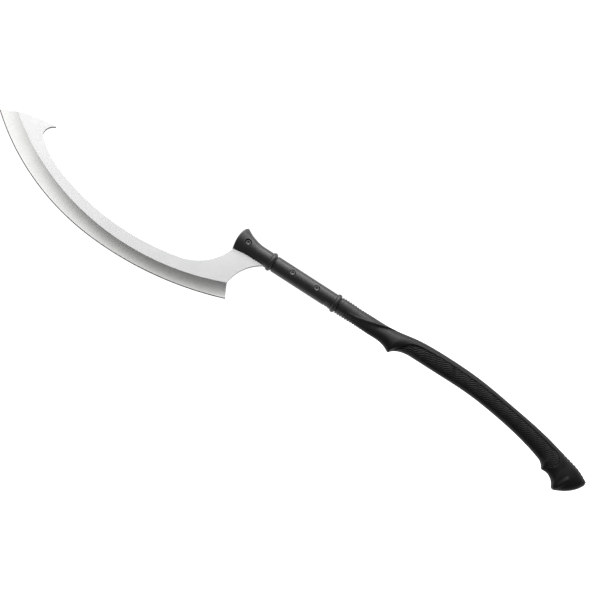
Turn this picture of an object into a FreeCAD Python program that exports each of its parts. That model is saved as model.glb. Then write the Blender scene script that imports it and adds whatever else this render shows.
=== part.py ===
"""Long-handled hand scythe: a bolted crescent blade on a moulded two-shell handle.

Frame: millimetres, +Z up along the straight shaft towards the blade, -X towards the cutting
edge, +X towards the handle's back, +Y to the user's right. The origin is on the shaft's axis
at the middle of the hand's place on the grip. The blade lies in the plane Y = 0.
"""

import FreeCAD, Part
import math
import os

import Sketcher
from FreeCAD import Placement, Rotation, Vector

# ---------------------------------------------------------------- driving dimensions

DIMENSIONS = {
    # blade plate and its hollow grind
    "blade_thickness": 5.0,
    "edge_thickness": 0.7,
    "grind_line_radius": 419.0,
    "grind_depth_radius": 443.0,
    "grind_sweep": 70.0,
    # cutting edge: two tangent arcs
    "edge_lower_radius": 535.0,
    "edge_upper_radius": 415.1,
    # inner edge: root, main and top arcs, tangent to each other
    "inner_radius": 409.8,
    "root_radius": 88.9,
    "crook_radius": 165.4,
    # tang
    "tang_half_width": 9.0,
    "tang_end_height": 240.0,
    "tang_corner": 4.0,
    # shaft
    "shaft_radius": 13.6,
    "neck_radius": 14.3,
    "bead_radius": 15.9,
    "step_radius": 12.9,
    "lower_bead_height": 222.5,
    "upper_bead_height": 345.0,
    # sleeve screws through head and shaft
    "screw_lower_height": 261.9,
    "screw_middle_height": 308.1,
    "screw_top_height": 393.3,
    "screw_lower_offset": 0.0,
    "screw_middle_offset": 0.0,
    "screw_top_offset": 2.5,
    "screw_seat": 8.4,
    "screw_head_radius": 4.5,
    "screw_head_height": 3.2,
    "screw_shank_radius": 2.5,
    "screw_shank_reach": 6.0,
    "socket_circumradius": 2.3,
    "socket_depth": 2.2,
    "sleeve_radius": 3.5,
    "sleeve_reach": 6.6,
    "seat_radius": 4.8,
    "top_seat_radius": 5.3,
    # grip pads and what lies under them
    "pad_depth": 2.2,
    "grip_screw_seat": 6.4,
    "grip_screw_head_radius": 3.8,
    "grip_screw_head_height": 2.6,
    "grip_screw_radius": 1.9,
    "grip_screw_reach": 6.0,
    "dowel_radius": 2.0,
    "dowel_length": 12.0,
    "cell_depth": 7.0,
    "cell_radius": 6.5,
    # thumb notches
    "notch_radius": 1.5,
    "notch_depth": 0.6,
    "notch_half_length": 6.0,
    # reach of the cutting tools past the handle
    "tool_reach": 40.0,
}

# Blade landmarks in the plane Y = 0, as (X, Z).
EDGE_JOIN = (-128.3, 601.5)
EDGE_LOWER_CENTRE = (405.6, 566.9)
GRIND_CENTRE = (311.9, 558.7)
INNER_CENTRE = (321.5, 566.1)
TIP_HEIGHT = 841.0
HEEL_HEIGHT = 375.3
ROOT_JOIN_HEIGHT = 473.4
CROOK_JOIN_HEIGHT = 703.7
NOTCH_HEIGHT = 762.0
END_EDGE_MIDDLE = (-14.0, 799.0)
SPUR_TIP = (-6.3, 751.6)
SPUR_HOLLOW = (-21.0, 762.6)
HEEL_INNER = (-70.3, 387.0)
CHOIL_MIDDLE = (-41.5, 379.0)
CHOIL_END = (-13.0, 352.5)
TANG_SHOULDER = (-9.0, 346.0)
TANG_HEAD_BACK = 12.5
TANG_HEAD_FOOT = 386.0

# Oval sections of the flared head: height, front X, back X, half thickness.
HEAD_SECTIONS = [
    (348.0, -13.6, 13.6, 13.6),
    (362.0, -13.6, 13.6, 13.6),
    (374.0, -13.8, 14.0, 13.7),
    (384.0, -14.0, 16.3, 14.3),
    (395.0, -15.0, 20.3, 15.1),
    (405.0, -16.6, 25.9, 15.9),
    (416.0, -18.3, 32.0, 16.6),
]

# Domed end of the head and its rounded back corner, as (X, Z).
HEAD_DOME = [(-17.6, 409.6), (0.5, 412.2), (17.6, 409.2)]
HEAD_CORNER = [(17.6, 409.2), (22.6, 406.6), (25.0, 401.9)]

# The grip's ovals lie level, in stretches of even pitch: top, foot, number of steps.
GRIP_STRETCHES = [(222.0, 132.0, 6), (132.0, 92.0, 10), (92.0, -178.0, 27), (-178.0, -265.8, 18)]
PAD_FLOOR_TOP = 114.0
PAD_FLOOR_FOOT = -220.0

# Half thickness of the grip, as (half thickness, height).
HALF_THICKNESS = [
    (13.6, 224.0), (13.4, 150.0), (13.0, 50.0), (12.9, -50.0), (12.7, -150.0), (13.2, -205.0),
    (13.3, -228.0), (12.2, -244.5), (9.8, -255.0), (6.2, -262.0), (2.0, -266.2),
]

# Side outline of the grip, as (X, Z): the front runs down, the back runs up.
FRONT_NECK = [(-14.4, 224.0), (-14.2, 150.0)]
FRONT_FLARE = [(-14.2, 150.0), (-15.2, 129.0), (-17.6, 121.5), (-21.7, 113.5)]
GUARD_TIP = [(-21.7, 113.5), (-21.9, 111.6), (-20.6, 110.0)]
FRONT_THROAT = [(-20.6, 110.0), (-15.8, 105.4), (-10.5, 96.0), (-7.9, 85.0), (-7.3, 74.0)]
FRONT_GRIP = [
    (-7.3, 74.0), (-7.1, 20.0), (-7.4, -28.0), (-12.1, -78.0), (-19.4, -123.0),
    (-29.0, -163.0), (-34.2, -179.6),
]
FRONT_TALON = [(-34.2, -179.6), (-38.2, -186.9), (-45.8, -192.4)]
TALON_CORNER = [(-45.8, -192.4), (-47.1, -193.9), (-47.3, -195.8)]
TALON_FLAT = [(-47.3, -195.8), (-47.0, -202.2)]
FRONT_HOLLOW = [(-47.0, -202.2), (-50.8, -211.4), (-62.4, -220.2)]
POMMEL_NOSE = [(-62.4, -220.2), (-65.0, -223.9), (-64.1, -229.4)]
POMMEL_BASE = [(-64.1, -229.4), (-57.2, -242.4), (-46.7, -255.6), (-37.4, -262.9), (-31.6, -266.2)]
BACK_GRIP = [
    (-25.6, -266.2), (-23.7, -263.0), (-19.9, -256.2), (-14.4, -244.5), (-9.2, -226.0),
    (-1.3, -195.0), (3.8, -173.0), (10.2, -138.0), (15.8, -100.0), (21.2, -62.0),
    (24.5, -28.0), (25.8, 10.0), (25.2, 49.0), (23.0, 78.0), (20.0, 96.0), (16.9, 113.0),
    (15.2, 129.0), (14.7, 150.0),
]
BACK_NECK = [(14.7, 150.0), (14.6, 224.0)]

# Outline of the grip pads, as (X, Z).
PAD_TOP = [(-10.6, 102.6), (-5.6, 97.6), (2.4, 91.6), (8.6, 82.6), (12.6, 67.6)]
PAD_BACK = [
    (12.6, 67.6), (14.8, 40.0), (15.2, 5.0), (13.0, -40.0), (7.6, -91.0),
    (-2.0, -150.0), (-11.6, -193.0),
]
PAD_FOOT = [(-11.6, -193.0), (-23.5, -209.6), (-40.6, -197.0)]
PAD_TALON = [(-40.6, -197.0), (-34.5, -188.4), (-30.6, -180.0)]
PAD_FRONT = [
    (-30.6, -180.0), (-25.8, -163.0), (-16.2, -123.0), (-8.9, -78.0), (-4.3, -28.0),
    (-3.9, 20.0), (-4.1, 74.0),
]
PAD_THROAT = [(-4.1, 74.0), (-4.7, 85.0), (-7.2, 96.0), (-10.6, 102.6)]

# Heights of what joins the two shells below the tang, from the neck down.
DOWEL_HEIGHTS = {
    "dowel_neck": 150.0,
    "dowel_upper_grip": 5.0,
    "dowel_lower_grip": -105.0,
    "dowel_pommel": -235.0,
}
GRIP_SCREWS = {
    "grip_screw_upper": (5.0, 62.0),
    "grip_screw_middle": (3.5, -50.0),
    "grip_screw_lower": (-14.5, -160.0),
}
CELL_MARGIN = 12.0

# Thumb notches: first height, last height, pitch, for the front and the back.
NECK_NOTCH_PITCH = 4.7
POMMEL_NOTCH_PITCH = 6.2
NECK_NOTCHES = (214.5, 182.0)
POMMEL_NOTCHES = (-216.0, -260.0)

HALVES = {"left": -1, "right": 1}
ALONG_Y = Rotation(Vector(1, 0, 0), -90)
ON_BLADE_PLANE = Placement(Vector(), Rotation(Vector(1, 0, 0), 90))

doc = FreeCAD.newDocument("hand_scythe")


def size(name):
    """Value of a driving dimension."""
    return DIMENSIONS[name]


def bind(item, **formulas):
    """Binds properties to formulas in the sheet's aliases, written as words."""
    for prop, formula in formulas.items():
        named = ["Dimensions." + word if word in DIMENSIONS else word for word in formula.split()]
        item.setExpression(prop.replace("__", "."), " ".join(named))


def make_sheet():
    """Spreadsheet of the driving dimensions."""
    sheet = doc.addObject("Spreadsheet::Sheet", "Dimensions")
    for row, (name, value) in enumerate(DIMENSIONS.items(), start=1):
        sheet.set(f"A{row}", name)
        sheet.set(f"B{row}", str(value))
        sheet.setAlias(f"B{row}", name)
    doc.recompute()


# ---------------------------------------------------------------- outlines

def flat(point):
    """Sketch point of an (X, Z) pair."""
    return Vector(point[0], point[1], 0)


def line(start, end):
    return Part.LineSegment(flat(start), flat(end))


def arc(start, middle, end):
    return Part.Arc(flat(start), flat(middle), flat(end))


def arc_about(centre, radius, start, end):
    """Short arc between two points of a circle."""
    towards = Vector((start[0] + end[0]) / 2 - centre[0], (start[1] + end[1]) / 2 - centre[1], 0)
    middle = flat(centre) + towards.normalize() * radius
    return Part.Arc(flat(start), middle, flat(end))


def curve(points):
    """Smooth curve through a few points."""
    spline = Part.BSplineCurve()
    spline.interpolate([flat(point) for point in points])
    return spline


def front_point(centre, radius, height):
    """Point of a circle on its -X side at a height."""
    rise = height - centre[1]
    return (centre[0] - math.sqrt(radius**2 - rise**2), height)


def towards(start, end, distance):
    """Point at a distance from start in the direction of end."""
    span = math.dist(start, end)
    return tuple(a + (b - a) * distance / span for a, b in zip(start, end))


def fine_points(stretches):
    """Close points along an outline's stretches, each a line, a three-point arc or a curve."""
    points = []
    for stretch in stretches:
        shape = arc(*stretch) if len(stretch) == 3 else curve(stretch)
        points += [(point.x, point.y) for point in shape.toShape().discretize(60)]
    return points


def x_at(points, height):
    """X of an outline at a height, between the two points nearest to it."""
    ordered = sorted(points, key=lambda point: point[1])
    for low, high in zip(ordered, ordered[1:]):
        if low[1] <= height <= high[1] and low[1] < high[1]:
            share = (height - low[1]) / (high[1] - low[1])
            return low[0] + share * (high[0] - low[0])
    raise ValueError(f"no outline at height {height}")


def middle_at(height):
    """X of the grip's middle line at a height."""
    return (x_at(FRONT_OUTLINE, height) + x_at(BACK_OUTLINE, height)) / 2


def grip_levels():
    """Heights of the grip's ovals, from the neck down."""
    levels = [GRIP_STRETCHES[0][0]]
    for top, foot, steps in GRIP_STRETCHES:
        levels += [top - (top - foot) * (number + 1) / steps for number in range(steps)]
    return levels


def grip_sections(levels):
    """Level ovals between the grip's outlines: height, front X, back X, half thickness."""
    outlines = (FRONT_OUTLINE, BACK_OUTLINE, THICKNESS_OUTLINE)
    return [(level, *(x_at(outline, level) for outline in outlines)) for level in levels]


FRONT_OUTLINE = fine_points([
    FRONT_NECK, FRONT_FLARE, GUARD_TIP, FRONT_THROAT, FRONT_GRIP, FRONT_TALON, TALON_CORNER,
    TALON_FLAT, FRONT_HOLLOW, POMMEL_NOSE, POMMEL_BASE,
])
BACK_OUTLINE = fine_points([BACK_GRIP, BACK_NECK])
THICKNESS_OUTLINE = fine_points([HALF_THICKNESS])


# ---------------------------------------------------------------- document helpers

def origin_plane(body, role):
    return next(item for item in body.Origin.OriginFeatures if item.Role == role)


def body_sketch(body, name, role, edges, offset=None):
    """Sketch of the given edges on one of a body's own planes."""
    sketch = body.newObject("Sketcher::SketchObject", name)
    sketch.AttachmentSupport = (origin_plane(body, role), [""])
    sketch.MapMode = "FlatFace"
    if offset is not None:
        sketch.AttachmentOffset = offset
    for edge in edges:
        sketch.addGeometry(edge)
    return sketch


def plate(name, edges, half_depth):
    """Solid between two planes either side of the blade plane, from closed outlines."""
    sketch = doc.addObject("Sketcher::SketchObject", name + "_outline")
    sketch.Placement = ON_BLADE_PLANE
    for edge in edges:
        sketch.addGeometry(edge)
    solid = doc.addObject("Part::Extrusion", name)
    solid.Base = sketch
    solid.DirMode = "Normal"
    solid.Solid = True
    solid.Symmetric = True
    bind(solid, LengthFwd="2 * " + half_depth)
    return solid


def oval_loft(name, sections, thinned="", ruled=False):
    """Smooth solid through level ovals, its half thickness reduced by a formula."""
    ovals = []
    for number, (height, front, back, half) in enumerate(sections):
        oval = doc.addObject("Part::Ellipse", f"{name}_oval_{number}")
        oval.MajorRadius = (back - front) / 2
        bind(oval, MinorRadius=f"{half} {thinned}")
        oval.Placement.Base = Vector((front + back) / 2, 0, height)
        ovals.append(oval)
    loft = doc.addObject("Part::Loft", name)
    loft.Sections = ovals
    loft.Solid = True
    loft.Ruled = ruled
    return loft


def combine(kind, name, items):
    """MultiFuse or MultiCommon of several solids."""
    result = doc.addObject("Part::" + kind, name)
    result.Shapes = items
    return result


def cut(name, base, tools):
    """Base without the tools."""
    tool = tools[0] if len(tools) == 1 else combine("MultiFuse", name + "_tools", tools)
    result = doc.addObject("Part::Cut", name)
    result.Base = base
    result.Tool = tool
    return result


def rod(name, radius, x, z, start, length):
    """Cylinder along +Y; radius, start and length are formulas in the sheet's words."""
    cylinder = doc.addObject("Part::Cylinder", name)
    cylinder.Placement = Placement(Vector(x, 0, z), ALONG_Y)
    bind(cylinder, Radius=radius, Height=length, Placement__Base__y=start)
    return cylinder


def half_space(side):
    """Box holding everything on one side of the blade plane."""
    reach = 1200.0
    box = doc.addObject("Part::Box", "side_of_plane")
    box.Length = reach
    box.Width = size("tool_reach")
    box.Height = reach
    corner_y = 0.0 if side > 0 else -size("tool_reach")
    box.Placement.Base = Vector(-reach / 2, corner_y, -reach / 3)
    return box


# ---------------------------------------------------------------- blade

def blade_edges():
    """Outline of the blade with its tang: cutting edge, heel, choil, tang, inner edge, spur."""
    edge_upper_centre = towards(EDGE_JOIN, EDGE_LOWER_CENTRE, size("edge_upper_radius"))
    tip = front_point(edge_upper_centre, size("edge_upper_radius"), TIP_HEIGHT)
    heel = front_point(EDGE_LOWER_CENTRE, size("edge_lower_radius"), HEEL_HEIGHT)
    join = front_point(EDGE_LOWER_CENTRE, size("edge_lower_radius"), EDGE_JOIN[1])

    root_join = front_point(INNER_CENTRE, size("inner_radius"), ROOT_JOIN_HEIGHT)
    root_centre = towards(root_join, INNER_CENTRE, size("root_radius"))
    tang_top = (root_centre[0], root_centre[1] - size("root_radius"))
    crook_join = front_point(INNER_CENTRE, size("inner_radius"), CROOK_JOIN_HEIGHT)
    crook_centre = towards(crook_join, INNER_CENTRE, size("crook_radius"))
    notch = front_point(crook_centre, size("crook_radius"), NOTCH_HEIGHT)

    half = size("tang_half_width")
    foot = size("tang_end_height")
    corner = size("tang_corner")
    bulge = corner * (1 - math.sqrt(0.5))
    head_corner = (TANG_HEAD_BACK, tang_top[1] - corner)
    tang = [
        line(CHOIL_END, TANG_SHOULDER),
        line(TANG_SHOULDER, (-half, foot + corner)),
        arc((-half, foot + corner), (-half + bulge, foot + bulge), (-half + corner, foot)),
        line((-half + corner, foot), (half - corner, foot)),
        arc((half - corner, foot), (half - bulge, foot + bulge), (half, foot + corner)),
        line((half, foot + corner), (half, TANG_HEAD_FOOT - corner)),
        line((half, TANG_HEAD_FOOT - corner), (TANG_HEAD_BACK, TANG_HEAD_FOOT)),
        line((TANG_HEAD_BACK, TANG_HEAD_FOOT), head_corner),
        line(head_corner, tang_top),
    ]
    return [
        arc_about(edge_upper_centre, size("edge_upper_radius"), tip, join),
        arc_about(EDGE_LOWER_CENTRE, size("edge_lower_radius"), join, heel),
        line(heel, HEEL_INNER),
        arc(HEEL_INNER, CHOIL_MIDDLE, CHOIL_END),
        *tang,
        arc_about(root_centre, size("root_radius"), tang_top, root_join),
        arc_about(INNER_CENTRE, size("inner_radius"), root_join, crook_join),
        arc_about(crook_centre, size("crook_radius"), crook_join, notch),
        arc(notch, SPUR_HOLLOW, SPUR_TIP),
        arc(SPUR_TIP, END_EDGE_MIDDLE, tip),
    ]


def grind_profile(side):
    """Section removed by the hollow grind on one face: radius across, Y up."""
    start = size("grind_line_radius")
    end = size("grind_depth_radius")
    surface = side * size("blade_thickness") / 2
    edge = side * size("edge_thickness") / 2
    outside = surface + side
    middle = (start + end) / 2
    far = end + 30.0
    hollow = edge + (surface - edge) / 4
    return [
        arc((start, surface), (middle, hollow), (end, edge)),
        line((end, edge), (far, edge)),
        line((far, edge), (far, outside)),
        line((far, outside), (start, outside)),
        line((start, outside), (start, surface)),
    ]


def make_blade():
    """Plate with tang, ground hollow on both faces and drilled for the three sleeves."""
    body = doc.addObject("PartDesign::Body", "blade")
    outline = body_sketch(body, "blade_outline", "XZ_Plane", blade_edges())
    pad = body.newObject("PartDesign::Pad", "blade_plate")
    pad.Profile = outline
    pad.SideType = "Symmetric"
    bind(pad, Length="blade_thickness")
    doc.recompute()

    lift = math.atan2(TIP_HEIGHT - GRIND_CENTRE[1], GRIND_CENTRE[0] - END_EDGE_MIDDLE[0])
    drop = math.atan2(GRIND_CENTRE[1] - HEEL_HEIGHT, GRIND_CENTRE[0] - HEEL_INNER[0])
    turn = 180 + math.degrees(lift - drop) / 2
    centre = Vector(GRIND_CENTRE[0], 0, GRIND_CENTRE[1])
    grind_frame = Placement(centre, Rotation(Vector(0, 1, 0), turn))
    profile = body_sketch(
        body, "grind_profile", "XY_Plane", grind_profile(1) + grind_profile(-1), grind_frame
    )
    groove = body.newObject("PartDesign::Groove", "hollow_grind")
    groove.Profile = profile
    groove.ReferenceAxis = (profile, ["V_Axis"])
    groove.Midplane = True
    bind(groove, Angle="grind_sweep")
    doc.recompute()

    holes = body_sketch(body, "tang_holes", "XZ_Plane", [])
    for place in ("lower", "middle", "top"):
        where = Vector(size(f"screw_{place}_offset"), size(f"screw_{place}_height"), 0)
        ring = holes.addGeometry(Part.Circle(where, Vector(0, 0, 1), size("sleeve_radius")))
        radius = holes.addConstraint(Sketcher.Constraint("Radius", ring, size("sleeve_radius")))
        across = holes.addConstraint(Sketcher.Constraint("DistanceX", -1, 1, ring, 3, where.x))
        up = holes.addConstraint(Sketcher.Constraint("DistanceY", -1, 1, ring, 3, where.y))
        holes.setExpression(f"Constraints[{radius}]", "Dimensions.sleeve_radius")
        holes.setExpression(f"Constraints[{across}]", f"Dimensions.screw_{place}_offset")
        holes.setExpression(f"Constraints[{up}]", f"Dimensions.screw_{place}_height")
    drilled = body.newObject("PartDesign::Pocket", "sleeve_holes")
    drilled.Profile = holes
    drilled.SideType = "Symmetric"
    drilled.Type = "Length"
    bind(drilled, Length="2 * blade_thickness")
    doc.recompute()

    volumes = [feature.Shape.Volume for feature in (pad, groove, drilled)]
    if not volumes[0] > volumes[1] > volumes[2]:
        raise RuntimeError(f"the grind or the holes cut nothing: {volumes}")
    return body


# ---------------------------------------------------------------- handle

def make_shaft():
    """Round shaft with its two beads, each with a step cut on the pommel side."""
    radius = size("shaft_radius")
    neck = size("neck_radius")
    bead = size("bead_radius")
    step = size("step_radius")
    low = size("lower_bead_height")
    high = size("upper_bead_height")
    low_step = step + 0.6
    inside_head = radius - 0.4
    foot = low - 8.0
    profile = [
        line((0, foot), (neck, foot)),
        line((neck, foot), (neck, low - 4.6)),
        line((neck, low - 4.6), (low_step, low - 4.2)),
        line((low_step, low - 4.2), (low_step, low - 3.0)),
        arc((low_step, low - 3.0), (bead, low + 0.2), (radius, low + 5.0)),
        line((radius, low + 5.0), (radius, high - 5.2)),
        line((radius, high - 5.2), (step, high - 4.9)),
        line((step, high - 4.9), (step, high - 3.4)),
        arc((step, high - 3.4), (bead, high + 0.2), (inside_head, high + 5.6)),
        line((inside_head, high + 5.6), (0, high + 5.6)),
        line((0, high + 5.6), (0, foot)),
    ]
    body = doc.addObject("PartDesign::Body", "shaft_core")
    sketch = body_sketch(body, "shaft_profile", "XZ_Plane", profile)
    turned = body.newObject("PartDesign::Revolution", "shaft_turned")
    turned.Profile = sketch
    turned.ReferenceAxis = (sketch, ["V_Axis"])
    turned.Angle = 360
    doc.recompute()
    return body


def make_head():
    """Flared head: an oval flare under a slightly domed end with a rounded back corner."""
    flare = oval_loft("head_flare", HEAD_SECTIONS)
    wide = 40.0
    floor = HEAD_SECTIONS[0][0] - 1
    front_rim = (-wide, 403.0)
    back_rim = (wide, 397.0)
    edges = [
        arc(*HEAD_DOME),
        arc(*HEAD_CORNER),
        line(HEAD_CORNER[-1], back_rim),
        line(back_rim, (wide, floor)),
        line((wide, floor), (-wide, floor)),
        line((-wide, floor), front_rim),
        line(front_rim, HEAD_DOME[0]),
    ]
    return combine("MultiCommon", "head", [flare, plate("head_envelope", edges, "tool_reach")])


def notch_row(name, outline, heights, pitch, side):
    """Round notches across one edge of the handle, following its outline."""
    top, bottom = heights
    notches = []
    for number in range(int((top - bottom) / pitch) + 1):
        height = top - number * pitch
        x = x_at(outline, height) + side * (size("notch_radius") - size("notch_depth"))
        notches.append(
            rod(
                f"{name}_{number}", "notch_radius", x, height,
                "-1 * notch_half_length", "2 * notch_half_length",
            )
        )
    return notches


def cell_edges():
    """Rounded cells that lighten both shells between their dowels and screws."""
    bosses = [GRIP_STRETCHES[0][0] + CELL_MARGIN, *DOWEL_HEIGHTS.values()]
    bosses += [z for _, z in GRIP_SCREWS.values()]
    bosses.sort(reverse=True)
    radius = size("cell_radius")
    edges = []
    for upper, lower in zip(bosses, bosses[1:]):
        top_z = upper - CELL_MARGIN - radius / 2
        foot_z = lower + CELL_MARGIN + radius / 2
        top = flat((middle_at(top_z), top_z))
        foot = flat((middle_at(foot_z), foot_z))
        along = (top - foot).normalize()
        across = Vector(along.y, -along.x, 0) * radius
        edges += [
            Part.Arc(top - across, top + along * radius, top + across),
            Part.LineSegment(top + across, foot + across),
            Part.Arc(foot + across, foot - along * radius, foot - across),
            Part.LineSegment(foot - across, top - across),
        ]
    return edges


def make_blank(outer_grip):
    """Both shells as one outer form, before anything is let into it."""
    form = combine("MultiFuse", "handle_form", [make_head(), make_shaft(), outer_grip])
    notches = notch_row("front_notch", FRONT_NECK, NECK_NOTCHES, NECK_NOTCH_PITCH, -1)
    notches += notch_row("back_notch", BACK_NECK, NECK_NOTCHES, NECK_NOTCH_PITCH, 1)
    notches += notch_row("pommel_notch", BACK_GRIP, POMMEL_NOTCHES, POMMEL_NOTCH_PITCH, 1)
    return cut("handle_blank", form, notches)


def screw_bores(side):
    """What a shell loses to the three sleeve screws: seats, sleeve bores and shank bores."""
    bores = []
    for place in ("lower", "middle", "top"):
        x = size(f"screw_{place}_offset")
        z = size(f"screw_{place}_height")
        seat = "top_seat_radius" if place == "top" else "seat_radius"
        name = f"bore_{place}"
        seat_start = "screw_seat" if side > 0 else "-1 * screw_seat - tool_reach"
        bores.append(rod(name + "_seat", seat, x, z, seat_start, "tool_reach"))
        bores.append(rod(name + "_sleeve", "sleeve_radius", x, z, "-1 * sleeve_reach", "tool_reach"))
        if side < 0:
            bores.append(rod(name + "_shank", "screw_shank_radius", x, z, "-1 * screw_seat", "tool_reach"))
    return bores


def grip_screw_bores(side):
    """Seats and bores of the hidden grip screws: head in the left shell, thread in the right."""
    bores = []
    for name, (x, z) in GRIP_SCREWS.items():
        if side < 0:
            seat_start = "-1 * grip_screw_seat - tool_reach"
            bores.append(rod(name + "_seat", "grip_screw_head_radius", x, z, seat_start, "tool_reach"))
        shank_start = "-1 * grip_screw_seat"
        length = "grip_screw_seat + grip_screw_reach"
        bores.append(rod(name + "_bore", "grip_screw_radius", x, z, shank_start, length))
    return bores


def dowel_rod(name, height):
    start = "dowel_length * -0.5"
    return rod(name, "dowel_radius", middle_at(height), height, start, "dowel_length")


def make_shell(side_name, blank, blade, pad_space):
    """One moulded half of the handle, with room for the tang, fasteners and grip pad."""
    side = HALVES[side_name]
    half = combine("MultiCommon", f"half_{side_name}", [blank, half_space(side)])
    cells = plate(f"cells_{side_name}", cell_edges(), "cell_depth")
    tools = [blade, pad_space, cells, *screw_bores(side), *grip_screw_bores(side)]
    tools += [dowel_rod("dowel_hole", height) for height in DOWEL_HEIGHTS.values()]
    return cut(f"handle_{side_name}", half, tools)


# ---------------------------------------------------------------- fasteners

def make_socket_screw(place):
    """Socket-head screw, its head in the left shell and its shank inside the sleeve nut."""
    x = size(f"screw_{place}_offset")
    z = size(f"screw_{place}_height")
    name = f"screw_{place}"
    head_top = "-1 * screw_seat - screw_head_height"
    head = rod(name + "_head", "screw_head_radius", x, z, head_top, "screw_head_height")
    length = "screw_seat + screw_shank_reach"
    shank = rod(name + "_shank", "screw_shank_radius", x, z, "-1 * screw_seat", length)
    socket = doc.addObject("Part::Prism", name + "_socket")
    socket.Placement = Placement(Vector(x, 0, z), ALONG_Y)
    bind(
        socket,
        Circumradius="socket_circumradius",
        Height="socket_depth",
        Placement__Base__y=head_top,
    )
    return cut(name, combine("MultiFuse", name + "_blank", [head, shank]), [socket])


def make_sleeve_nut(place):
    """Sleeve nut, its head in the right shell and its barrel through the tang."""
    x = size(f"screw_{place}_offset")
    z = size(f"screw_{place}_height")
    name = f"sleeve_nut_{place}"
    head = rod(name + "_head", "screw_head_radius", x, z, "screw_seat", "screw_head_height")
    barrel_length = "sleeve_reach + screw_seat"
    barrel = rod(name + "_barrel", "sleeve_radius", x, z, "-1 * sleeve_reach", barrel_length)
    bore_length = "sleeve_reach + screw_shank_reach"
    bore = rod(name + "_bore", "screw_shank_radius", x, z, "-1 * sleeve_reach", bore_length)
    socket = doc.addObject("Part::Prism", name + "_socket")
    socket.Placement = Placement(Vector(x, 0, z), ALONG_Y)
    bind(
        socket,
        Circumradius="socket_circumradius",
        Height="socket_depth",
        Placement__Base__y="screw_seat + screw_head_height - socket_depth",
    )
    return cut(name, combine("MultiFuse", name + "_blank", [head, barrel]), [bore, socket])


def make_grip_screw(name, x, z):
    """Thread-forming screw under the left grip pad."""
    head_top = "-1 * grip_screw_seat - grip_screw_head_height"
    height = "grip_screw_head_height"
    head = rod(name + "_head", "grip_screw_head_radius", x, z, head_top, height)
    shank_start = "-1 * grip_screw_seat"
    length = "grip_screw_seat + grip_screw_reach"
    shank = rod(name + "_shank", "grip_screw_radius", x, z, shank_start, length)
    return combine("MultiFuse", name, [head, shank])


# ---------------------------------------------------------------- assembly

def make_nodes():
    """Every sub-part of the scythe, by the name of its node."""
    blade = make_blade()
    levels = grip_levels()
    floor_levels = [level for level in levels if PAD_FLOOR_FOOT < level < PAD_FLOOR_TOP]
    outer_grip = oval_loft("grip_surface", grip_sections(levels), ruled=True)
    pad_floor = oval_loft("pad_floor", grip_sections(floor_levels), "- pad_depth", ruled=True)
    blank = make_blank(outer_grip)

    pad_edges = [
        curve(PAD_TOP), curve(PAD_BACK), arc(*PAD_FOOT), arc(*PAD_TALON), curve(PAD_FRONT),
        curve(PAD_THROAT),
    ]
    pad_space = cut("pad_space", plate("pad_envelope", pad_edges, "tool_reach"), [pad_floor])
    nodes = {"blade": blade}
    for side_name, side in HALVES.items():
        nodes[f"handle_{side_name}"] = make_shell(side_name, blank, blade, pad_space)
        pad_parts = [outer_grip, pad_space, half_space(side)]
        nodes[f"grip_pad_{side_name}"] = combine("MultiCommon", f"grip_pad_{side_name}", pad_parts)
    for place in ("top", "middle", "lower"):
        nodes[f"screw_{place}"] = make_socket_screw(place)
        nodes[f"sleeve_nut_{place}"] = make_sleeve_nut(place)
    for name, (x, z) in GRIP_SCREWS.items():
        nodes[name] = make_grip_screw(name, x, z)
    for name, height in DOWEL_HEIGHTS.items():
        nodes[name] = dowel_rod(name, height)
    return nodes


def check(nodes):
    """Stops on any failed object and on any sub-part that is not one sound solid."""
    for item in doc.Objects:
        if "Invalid" in item.State or "Error" in item.State:
            raise RuntimeError(f"{item.Name} failed: {item.State}")
    for name, item in nodes.items():
        shape = item.Shape
        if shape.isNull() or not shape.isValid() or len(shape.Solids) != 1:
            raise RuntimeError(f"{name} is not one sound solid: {len(shape.Solids)} solids")


def main():
    make_sheet()
    nodes = make_nodes()
    doc.recompute()
    os.makedirs("parts", exist_ok=True)
    check(nodes)
    for name, item in nodes.items():
        item.Label = name
        item.Shape.exportStep(f"parts/{name}.step")
        print(f"{name}: {item.Shape.Volume / 1000:.2f} cm3")


main()
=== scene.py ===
"""Looks of the long-handled hand scythe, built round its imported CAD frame.

Outlines are in millimetres as (X, Z), the same ones that the CAD uses, and meshes are in metres.
+Z runs along the shaft towards the blade, -X towards the cutting edge, and the left side is -Y.
"""

import math

import bmesh
import bpy
import numpy as np
from mathutils import Matrix, Vector


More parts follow.
